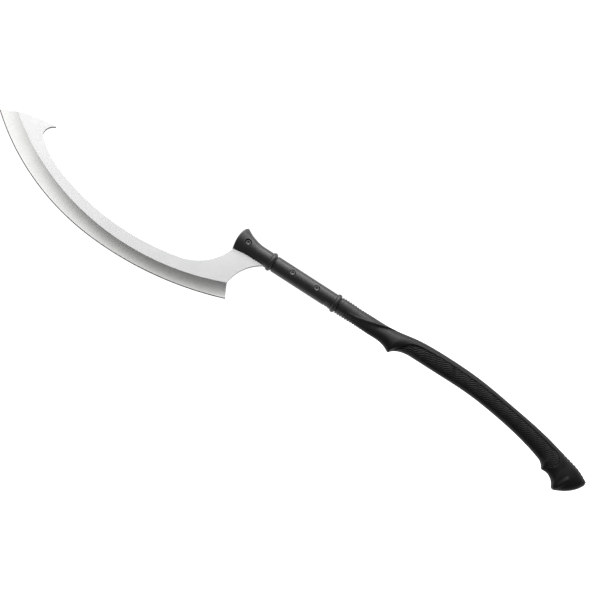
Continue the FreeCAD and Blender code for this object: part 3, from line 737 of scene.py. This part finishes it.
def steel_material(name, dark, light, rough, ground=False):
    """Steel, blasted to a satin or ground with fine lines square to the cutting edge."""
    material, tree, shader, where = new_material(name, Metallic=1.0)
    if ground:
        fine = link_noise(tree, grinding_lines(tree, where), GRIND_SCALE, 4.0, 0.7)
        depth = GRIND_LINE_DEPTH
    else:
        fine = link_noise(tree, where, SATIN_SCALE, 2.0, 0.6)
        depth = SATIN_DEPTH
    cloud = link_noise(tree, where, CLOUD_SCALE, 3.0)
    link_colour(tree, cloud, dark, light, shader)
    tree.links.new(link_range(tree, fine, *rough), shader.inputs["Roughness"])
    tree.links.new(link_bump(tree, fine, depth), shader.inputs["Normal"])
    return material


def paint_grip_shade(material):
    """Paints shade on a material: darker and duller from the shaft down to the grip."""
    tree = material.node_tree
    shader = tree.nodes["Principled BSDF"]
    colour = shader.inputs["Base Color"].links[0].from_socket
    where = tree.nodes.new("ShaderNodeSeparateXYZ")
    tree.links.new(tree.nodes["Texture Coordinate"].outputs["Object"], where.inputs["Vector"])
    # Painted shade: the base colour is scaled down towards the grip.
    share = link_range(tree, where.outputs["Z"], PAINTED_GRIP_SHADE, 1.0, PAINTED_SHADE_SPAN)
    scaled = tree.nodes.new("ShaderNodeVectorMath")
    scaled.operation = "SCALE"
    tree.links.new(colour, scaled.inputs[0])
    tree.links.new(share, scaled.inputs["Scale"])
    tree.links.new(scaled.outputs["Vector"], shader.inputs["Base Color"])
    gloss = link_range(tree, where.outputs["Z"], GRIP_SPECULAR, SHAFT_SPECULAR, PAINTED_SHADE_SPAN)
    tree.links.new(gloss, shader.inputs["Specular IOR Level"])


NYLON = moulded_material(
    "handle_nylon", dark=(0.0145, 0.0145, 0.0150), light=(0.0205, 0.0205, 0.0210),
    rough=(0.38, 0.45), grain_size=0.0007, grain_depth=0.00005,
)
# Painted shade: the nylon darkens and dulls towards the grip.
paint_grip_shade(NYLON)
RUBBER = moulded_material(
    "grip_rubber", dark=(0.0055, 0.0052, 0.0050), light=(0.009, 0.0084, 0.0080),
    rough=(0.46, 0.58), grain_size=0.0005, grain_depth=0.00003, Specular_IOR_Level=0.35,
)
BLACK_OXIDE = moulded_material(
    "black_oxide", dark=(0.12, 0.12, 0.123), light=(0.17, 0.17, 0.175),
    rough=(0.30, 0.42), grain_size=0.0006, grain_depth=0.00001, Metallic=0.8,
)
SATIN_STEEL = steel_material(
    "blade_satin", dark=(0.64, 0.645, 0.645), light=(0.68, 0.685, 0.68), rough=(0.36, 0.44),
)
GROUND_STEEL = steel_material(
    "blade_ground", dark=(0.63, 0.63, 0.618), light=(0.67, 0.67, 0.658), rough=(0.26, 0.36),
    ground=True,
)
# Painted shade: near-black steel on the sharpened edge and the plate's cut walls, for the dark line
# they show.
PAINTED_DARK_CUT_STEEL = steel_material(
    "blade_cut_painted_shade", dark=(0.055, 0.055, 0.057), light=(0.09, 0.09, 0.092), rough=(0.45, 0.55),
)
PLAIN_STEEL = steel_material(
    "plain_steel", dark=(0.48, 0.48, 0.49), light=(0.60, 0.60, 0.60), rough=(0.30, 0.42),
)

# ---------------------------------------------------------------- blade


def on_circle(centre, radius, height):
    """Point of a circle on its -X side at a height."""
    return (centre[0] - math.sqrt(radius**2 - (height - centre[1]) ** 2), height)


def towards(start, end, distance):
    """Point at a distance from start in the direction of end."""
    span = math.dist(start, end)
    return tuple(a + (b - a) * distance / span for a, b in zip(start, end))


def circle_stretch(centre, radius, start, end, count):
    """Points of a circle's -X side between two of its points."""
    first = math.atan2(start[1] - centre[1], centre[0] - start[0])
    last = math.atan2(end[1] - centre[1], centre[0] - end[0])
    angle = np.linspace(first, last, count)
    return np.column_stack([centre[0] - radius * np.cos(angle), centre[1] + radius * np.sin(angle)])


def even_points(points, count):
    """The given number of points, evenly spaced along a line of points."""
    run = np.concatenate([[0], np.cumsum(np.hypot(*np.diff(points, axis=0).T))])
    at = np.linspace(0, run[-1], count)
    return np.column_stack([np.interp(at, run, points[:, 0]), np.interp(at, run, points[:, 1])])


def grind_reach(x, z):
    """Distance from the centre of the hollow grind."""
    return np.hypot(x - GRIND_CENTRE[0], z - GRIND_CENTRE[1])


def hollow_half_thickness(x, z):
    """Half thickness of the hollow grind, by distance from the grind's centre."""
    start = (GRIND_LINE_RADIUS, HALF_PLATE)
    end = (GRIND_DEPTH_RADIUS, HALF_EDGE)
    middle = ((start[0] + end[0]) / 2, HALF_EDGE + (HALF_PLATE - HALF_EDGE) / 4)
    profile = arc_points(start, middle, end, FINE_POINTS)
    return np.interp(grind_reach(x, z), profile[:, 0], profile[:, 1])


def blade_lines():
    """Cutting edge, grind line, end edge from the grind line to the tip, and the rest in order."""
    upper_centre = towards(EDGE_JOIN, EDGE_LOWER_CENTRE, EDGE_UPPER_RADIUS)
    heel = on_circle(EDGE_LOWER_CENTRE, EDGE_LOWER_RADIUS, HEEL_HEIGHT)
    join = on_circle(EDGE_LOWER_CENTRE, EDGE_LOWER_RADIUS, EDGE_JOIN[1])
    tip = on_circle(upper_centre, EDGE_UPPER_RADIUS, TIP_HEIGHT)
    edge = np.vstack([
        circle_stretch(EDGE_LOWER_CENTRE, EDGE_LOWER_RADIUS, heel, join, FINE_POINTS),
        circle_stretch(upper_centre, EDGE_UPPER_RADIUS, join, tip, FINE_POINTS)[1:],
    ])
    end_edge = arc_points(SPUR_TIP, END_EDGE_MIDDLE, tip, 2 * FINE_POINTS)
    cross = int(np.argmax(grind_reach(end_edge[:, 0], end_edge[:, 1]) > GRIND_LINE_RADIUS))
    grind = circle_stretch(
        GRIND_CENTRE, GRIND_LINE_RADIUS, HEEL_INNER, end_edge[cross], FINE_POINTS,
    )

    root_join = on_circle(INNER_CENTRE, INNER_RADIUS, ROOT_JOIN_HEIGHT)
    root_centre = towards(root_join, INNER_CENTRE, ROOT_RADIUS)
    root_foot = (root_centre[0], root_centre[1] - ROOT_RADIUS)
    crook_join = on_circle(INNER_CENTRE, INNER_RADIUS, CROOK_JOIN_HEIGHT)
    crook_centre = towards(crook_join, INNER_CENTRE, CROOK_RADIUS)
    notch = on_circle(crook_centre, CROOK_RADIUS, NOTCH_HEIGHT)
    rest = np.vstack([
        even_points(end_edge[: cross + 1][::-1], count=40)[1:],
        arc_points(SPUR_TIP, SPUR_HOLLOW, notch, count=24)[1:],
        circle_stretch(crook_centre, CROOK_RADIUS, notch, crook_join, count=40)[1:],
        circle_stretch(INNER_CENTRE, INNER_RADIUS, crook_join, root_join, count=90)[1:],
        circle_stretch(root_centre, ROOT_RADIUS, root_join, root_foot, count=50)[1:],
        TANG[::-1],
        arc_points(CHOIL_END, CHOIL_MIDDLE, HEEL_INNER, count=40)[:-1],
    ])
    return edge, grind, end_edge[cross:], rest


def blade_mesh():
    """Closed blade: flats with eased spine, hollow bevels and a fine sharpened edge."""
    edge, grind, end_edge, rest = blade_lines()
    edge, grind = even_points(edge, BLADE_COLUMNS), even_points(grind, BLADE_COLUMNS)
    width = np.hypot(*(edge - grind).T)
    rows = [grind + (edge - grind) * share for share in HOLLOW_SHARES]
    rows.append(edge - (edge - grind) * (SHARPENED_WIDTH / width)[:, None])
    rows.append(edge)
    rows = np.array(rows)

    # The last columns bow, so that the rows end on the curved end edge.
    last_span = np.hypot(*(rows[:, -1] - rows[0, -1]).T)
    nearest = np.round(last_span / last_span[-1] * (FINE_POINTS - 1)).astype(int)
    bowed = even_points(end_edge, FINE_POINTS)[nearest]
    along = np.linspace(0, 1, BLADE_COLUMNS)
    near_end = np.clip((along - (1 - END_BOW_SHARE)) / END_BOW_SHARE, 0, 1) ** 2
    rows += (bowed - rows[:, -1])[:, None, :] * near_end[None, :, None]

    half = hollow_half_thickness(rows[..., 0], rows[..., 1])
    half[0] = HALF_PLATE
    half[-1] = HALF_SHARP
    shape = bmesh.new()

    def add(places, halves, side):
        """Corners at the given places, each half a thickness to one side."""
        return [
            shape.verts.new((x * MM, side * h * MM, z * MM)) for (x, z), h in zip(places, halves)
        ]

    corners_of_side = {}
    for side in (-1, 1):
        hollow = [add(row, halves, side) for row, halves in zip(rows, half)]
        outline = add(rest, np.full(len(rest), HALF_PLATE), side)
        shape.faces.new(hollow[0] + outline)
        for number, (upper, lower) in enumerate(zip(hollow, hollow[1:])):
            for k in range(BLADE_COLUMNS - 1):
                face = shape.faces.new((upper[k], upper[k + 1], lower[k + 1], lower[k]))
                face.material_index = CUT if number == len(hollow) - 2 else HOLLOW
        corners_of_side[side] = (hollow, [hollow[0][-1], *outline, hollow[0][0]])
    (left, left_spine), (right, right_spine) = corners_of_side[-1], corners_of_side[1]

    walls = list(zip(left_spine, left_spine[1:], right_spine[1:], right_spine))
    for k in range(BLADE_COLUMNS - 1):
        walls.append((left[-1][k], left[-1][k + 1], right[-1][k + 1], right[-1][k]))
    for end in (0, -1):
        for j in range(len(left) - 1):
            walls.append((left[j][end], left[j + 1][end], right[j + 1][end], right[j][end]))
    for corners in walls:
        shape.faces.new(corners).material_index = CUT
    spine = [
        shape.edges.get(pair)
        for line in (left_spine, right_spine) for pair in zip(line, line[1:])
    ]
    bmesh.ops.recalc_face_normals(shape, faces=shape.faces)
    bmesh.ops.bevel(
        shape, geom=spine, offset=SPINE_BEVEL * MM, segments=2, profile=0.5, affect="EDGES",
        clamp_overlap=True,
    )
    mesh = bpy.data.meshes.new("blade_plate")
    shape.to_mesh(mesh)
    shape.free()
    return mesh


def crisp_flats(mesh):
    """Flats shaded flat and a sharp line where the hollow grind starts."""
    shape = bmesh.new()
    shape.from_mesh(mesh)
    for face in shape.faces:
        face.smooth = abs(face.normal.y) < FLAT_NORMAL
    for edge in shape.edges:
        if len({face.material_index for face in edge.link_faces}) > 1:
            edge.smooth = False
    shape.to_mesh(mesh)
    shape.free()


def make_blade():
    """The blade with its tang's three holes."""
    blade = new_object("blade_plate", blade_mesh(), [SATIN_STEEL, GROUND_STEEL, PAINTED_DARK_CUT_STEEL])
    profile = [(SLEEVE_HOLE_RADIUS, -SLEEVE_HOLE_REACH), (SLEEVE_HOLE_RADIUS, SLEEVE_HOLE_REACH)]
    middles = [middle_of(f"screw_{where}") for where in SEAT_RADIUS]
    cut_away(blade, [
        new_cutter("hole", profile, middle.x, middle.z, FASTENER_FACETS) for middle in middles
    ])
    crisp_flats(blade.data)
    place(blade, "blade", "blade_steel")


# ---------------------------------------------------------------- handle pieces


def seat_cutter(where, side):
    """Form of a screw's seat, flared a little where it meets the handle's surface."""
    radius = SEAT_RADIUS[where]
    middle = middle_of(f"screw_{where}")
    rim = float(section_at(middle.z / MM)[2]) - SEAT_FLARE
    mouth = rim + SEAT_MOUTH_HEIGHT
    profile = [
        (SEAT_CORE, SEAT_FLOOR), (radius, SEAT_FLOOR), (radius, rim),
        (radius + SEAT_FLARE, rim + SEAT_FLARE), (radius + SEAT_MOUTH_WIDTH, mouth),
        (SEAT_CORE, mouth),
    ]
    placed = [(across, side * y) for across, y in profile]
    return new_cutter("seat", placed, middle.x, middle.z, SEAT_FACETS)


def make_shell(side_name):
    """One moulded half of the handle, with its pad bed, neck relief, notches and screw seats."""
    side = SIDES[side_name]
    between = np.linspace(SEAM_ANGLE, math.pi - SEAM_ANGLE, COLUMNS - 1)
    angle = np.concatenate([[0], between, [math.pi]])
    levels = stretch_levels(ROW_STRETCHES)
    grid_angle, grid_height = np.meshgrid(angle, levels)
    body = surface(grid_angle, grid_height, shell_depth(grid_angle, grid_height))
    points = np.vstack([head_rows(angle), body])
    points[:, [0, -1], 1] = -PARTING_GAP
    rows, columns = points.shape[:2]
    flat_points = mirrored(points.reshape(-1, 3), side)
    mesh = mesh_from(f"shell_{side_name}", flat_points, tube_faces(rows, columns))
    shell = new_object(f"shell_{side_name}", mesh, [NYLON])
    cut_away(shell, [seat_cutter(where, side) for where in SEAT_RADIUS])
    place(shell, f"handle_{side_name}", "handle_nylon")


def ridge_depth(points, inside, top_distance):
    """Depth of the wavy ridges below the pad's surface, faded out at its border."""
    x, y, z = points[..., 0], points[..., 1], points[..., 2]
    across = RIDGE_ACROSS[0] * x + RIDGE_ACROSS[1] * y + RIDGE_ACROSS[2] * z
    along = RIDGE_ALONG[0] * x + RIDGE_ALONG[1] * z
    wave = sum(
        height * np.sin(along * math.tau / length + phase) for height, length, phase in RIDGE_WAVES
    )
    swell = RIDGE_SWELL[0] * np.exp(-top_distance / RIDGE_SWELL[1])
    turn = (across + wave - swell) / RIDGE_PITCH * math.tau
    fade = RIDGE_FOOT_SHARE + (1 - RIDGE_FOOT_SHARE) * ramp(*RIDGE_FADE, z)
    return RIDGE_DEPTH * fade * (0.5 - 0.5 * np.cos(turn)) * ramp(*RIDGE_BORDER, inside)


def make_pad(side_name):
    """One ridged grip pad, closed all round, let into its bed."""
    side = SIDES[side_name]
    foot, top = PAD_HEIGHTS
    count = round((top - foot) / PAD_ROW_PITCH)
    levels = np.linspace(top - PAD_END_MARGIN, foot + PAD_END_MARGIN, count)
    lowest = int(np.argmin(PAD_OUTLINE[:, 1]))
    back_line, front_line = PAD_OUTLINE[: lowest + 1], PAD_OUTLINE[lowest:]
    middle, wide, _ = section_at(levels)
    back = np.arccos(np.clip((value_at(back_line, levels) - middle) / wide, -1, 1))
    front = np.arccos(np.clip((value_at(front_line, levels) - middle) / wide, -1, 1))
    share = np.linspace(0, 1, PAD_COLUMNS)
    angle = back[:, None] + (front - back)[:, None] * share[None, :]
    height = np.repeat(levels[:, None], PAD_COLUMNS, axis=1)
    flat_surface = surface(angle, height)
    x, z = flat_surface[..., 0], flat_surface[..., 2]
    inside = distance_inside(PAD_OUTLINE, x, z)
    below_lip = distance_to(PAD_TOP_LINE, x, z)
    base = PAD_SINK + PAD_LIP_SINK * np.exp(-below_lip / PAD_LIP_REACH)
    rolled = PAD_ROLL * (1 - ramp(*PAD_ROLL_EDGE, inside))
    depth = base + rolled + ridge_depth(flat_surface, inside, below_lip)
    outer = surface(angle, height, depth)

    coarse = np.linspace(0, PAD_COLUMNS - 1, PAD_UNDER_COLUMNS).round().astype(int)
    under_depth = bed_depth(below_lip[:, coarse]) - PAD_CLEARANCE
    under = surface(angle[:, coarse], height[:, coarse], under_depth)[:, ::-1]
    rings = np.concatenate([outer, under], axis=1)
    rows, columns = rings.shape[:2]
    flat_points = mirrored(rings.reshape(-1, 3), side)
    mesh = mesh_from(f"ridged_pad_{side_name}", flat_points, tube_faces(rows, columns))
    pad = new_object(f"ridged_pad_{side_name}", mesh, [RUBBER])
    place(pad, f"grip_pad_{side_name}", "grip_rubber")


# ---------------------------------------------------------------- fasteners


def make_fastener(where, kind):
    """Socket screw, or the sleeve nut on the other side, with eased rim and hex socket."""
    node = f"{kind}_{where}"
    low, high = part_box(node)
    if kind == "screw":
        outward, outer, end = -1, -low.y / MM, -high.y / MM
    else:
        outward, outer, end = 1, high.y / MM, low.y / MM
    socket = outer - SOCKET_DEPTH
    shank = SHANK_RADIUS[kind]
    # From the bottom of the hex socket, over its eased rim and the face, down the shank.
    profile = [(SCREW_CORE, socket - SOCKET_CONE), (SOCKET_RADIUS, socket)]
    profile += [(radius, outer + height) for radius, height in SCREW_FACE]
    profile += [(SCREW_HEAD_RADIUS, SCREW_HEAD_FLOOR), (shank, SCREW_HEAD_FLOOR), (shank, end)]
    if kind == "screw":
        profile.append((SCREW_CORE, end))
    else:
        bore_floor = socket - NUT_BORE_FLOOR
        profile += [(NUT_BORE_RADIUS, end), (NUT_BORE_RADIUS, bore_floor), (SCREW_CORE, bore_floor)]
    placed = [(radius, outward * y) for radius, y in profile]
    mesh = lathe(node, placed, FASTENER_FACETS, hexed=(1, 2))
    made = new_object(f"socket_{node}", mesh, [BLACK_OXIDE])
    middle = middle_of(node)
    made.location = (middle.x, 0, middle.z)
    place(made, node, "black_screw")


# ---------------------------------------------------------------- camera, light and stage

VIEW_TURN = math.radians(-18.0)
VIEW_ROLL = math.radians(57.2)
VIEW_DISTANCE = 2.258
VIEW_ANGLE = math.radians(24.0)
SENSOR_WIDTH = 36.0
AIM_SIDEWAYS = -0.0266
AIM_DROP = 0.013
SURROUND_DIM = 0.15
SURROUND_BRIGHT = 1.0
SURROUND_BLEND = (-0.35, 0.45)
STAGE_GLOW = 1.1
FLOOR_RADIUS = 19.0
FLOOR_DROP = 0.25
DOME_RADIUS = 20.0
ACROSS = Vector((math.cos(VIEW_TURN), math.sin(VIEW_TURN), 0))
TOWARDS_VIEWER = Vector((math.sin(VIEW_TURN), -math.cos(VIEW_TURN), 0))
RIGHT = ACROSS * math.cos(VIEW_ROLL) - Vector((0, 0, 1)) * math.sin(VIEW_ROLL)
UP = ACROSS * math.sin(VIEW_ROLL) + Vector((0, 0, 1)) * math.cos(VIEW_ROLL)
AIM = ACROSS * AIM_SIDEWAYS + Vector((0, 0, (CAD_LOW.z + CAD_HIGH.z) / 2 - AIM_DROP))


def facing(right, up, back, location):
    """World matrix from three axes and a place."""
    return Matrix.Translation(location) @ Matrix((right, up, back)).transposed().to_4x4()


def make_camera():
    """Camera at the viewing angle, rolled so that the shaft slopes across the frame."""
    lens = bpy.data.cameras.new("camera")
    lens.sensor_width = SENSOR_WIDTH
    lens.lens = SENSOR_WIDTH / 2 / math.tan(VIEW_ANGLE / 2)
    camera = add_object("camera", lens)
    camera.matrix_world = facing(RIGHT, UP, TOWARDS_VIEWER, AIM + TOWARDS_VIEWER * VIEW_DISTANCE)
    bpy.context.scene.camera = camera


def make_soft_box(name, upward, shift, distance, width, height, radiance):
    """Large soft light turned upward from the line of view, shifted along the frame's width."""
    outward = TOWARDS_VIEWER * math.cos(upward) + UP * math.sin(upward)
    light = bpy.data.lights.new(name, "AREA")
    light.shape = "RECTANGLE"
    light.size = width
    light.size_y = height
    light.energy = radiance * math.pi * width * height
    centre = AIM + outward * distance + RIGHT * shift
    lamp = add_object(name, light)
    lamp.matrix_world = facing(RIGHT, outward.cross(RIGHT), outward, centre)


def make_world():
    """Soft surround, bright behind the object and dim on the viewer's side."""
    world = bpy.data.worlds.new("studio")
    bpy.context.scene.world = world
    world.use_nodes = True
    tree = world.node_tree
    where = tree.nodes.new("ShaderNodeTexCoord").outputs["Generated"]
    along = tree.nodes.new("ShaderNodeVectorMath")
    along.operation = "DOT_PRODUCT"
    along.inputs[1].default_value = -TOWARDS_VIEWER
    tree.links.new(where, along.inputs[0])
    shade = link_range(
        tree, along.outputs["Value"], SURROUND_DIM, SURROUND_BRIGHT, SURROUND_BLEND,
    )
    tree.nodes["Background"].inputs["Color"].default_value = (1, 1, 1, 1)
    tree.links.new(shade, tree.nodes["Background"].inputs["Strength"])


def stage_material(name, colour):
    """Stage surface that glows, so that it stays evenly white."""
    material, _, shader, _ = new_material(name, Roughness=0.9)
    shader.inputs["Base Color"].default_value = (colour, colour, colour, 1)
    shader.inputs["Emission Color"].default_value = (1, 1, 1, 1)
    shader.inputs["Emission Strength"].default_value = STAGE_GLOW
    return material


def make_stage():
    """Wide pale floor under the pommel and a white surround behind everything."""
    floor_shape = bmesh.new()
    bmesh.ops.create_circle(floor_shape, cap_ends=True, segments=96, radius=FLOOR_RADIUS)
    dome_shape = bmesh.new()
    bmesh.ops.create_uvsphere(dome_shape, u_segments=64, v_segments=32, radius=DOME_RADIUS)
    made = []
    for name, shape, colour in (("floor", floor_shape, 0.8), ("surround", dome_shape, 0.0)):
        mesh = bpy.data.meshes.new(name)
        shape.to_mesh(mesh)
        shape.free()
        item = new_object(name, mesh, [stage_material(name, colour)])
        item.visible_glossy = False
        item.visible_diffuse = False
        made.append(item)
    floor, surround = made
    floor.location.z = CAD_LOW.z - FLOOR_DROP
    surround.visible_shadow = False


# ---------------------------------------------------------------- the scene

make_camera()
make_world()
make_soft_box(
    "front_box", upward=math.radians(51.0), shift=0.48, distance=2.6, width=3.4, height=2.1,
    radiance=1.55,
)
make_soft_box(
    "top_box", upward=math.radians(78.0), shift=0.95, distance=2.2, width=2.3, height=1.1,
    radiance=3.6,
)
make_stage()

make_blade()
for side_name in SIDES:
    make_shell(side_name)
    make_pad(side_name)
for place_name in SEAT_RADIUS:
    make_fastener(place_name, "screw")
    make_fastener(place_name, "sleeve_nut")
for node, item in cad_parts.items():
    if node.startswith(("grip_screw", "dowel")):
        item.data.materials.clear()
        item.data.materials.append(PLAIN_STEEL)

bpy.context.scene.view_settings.view_transform = "Standard"
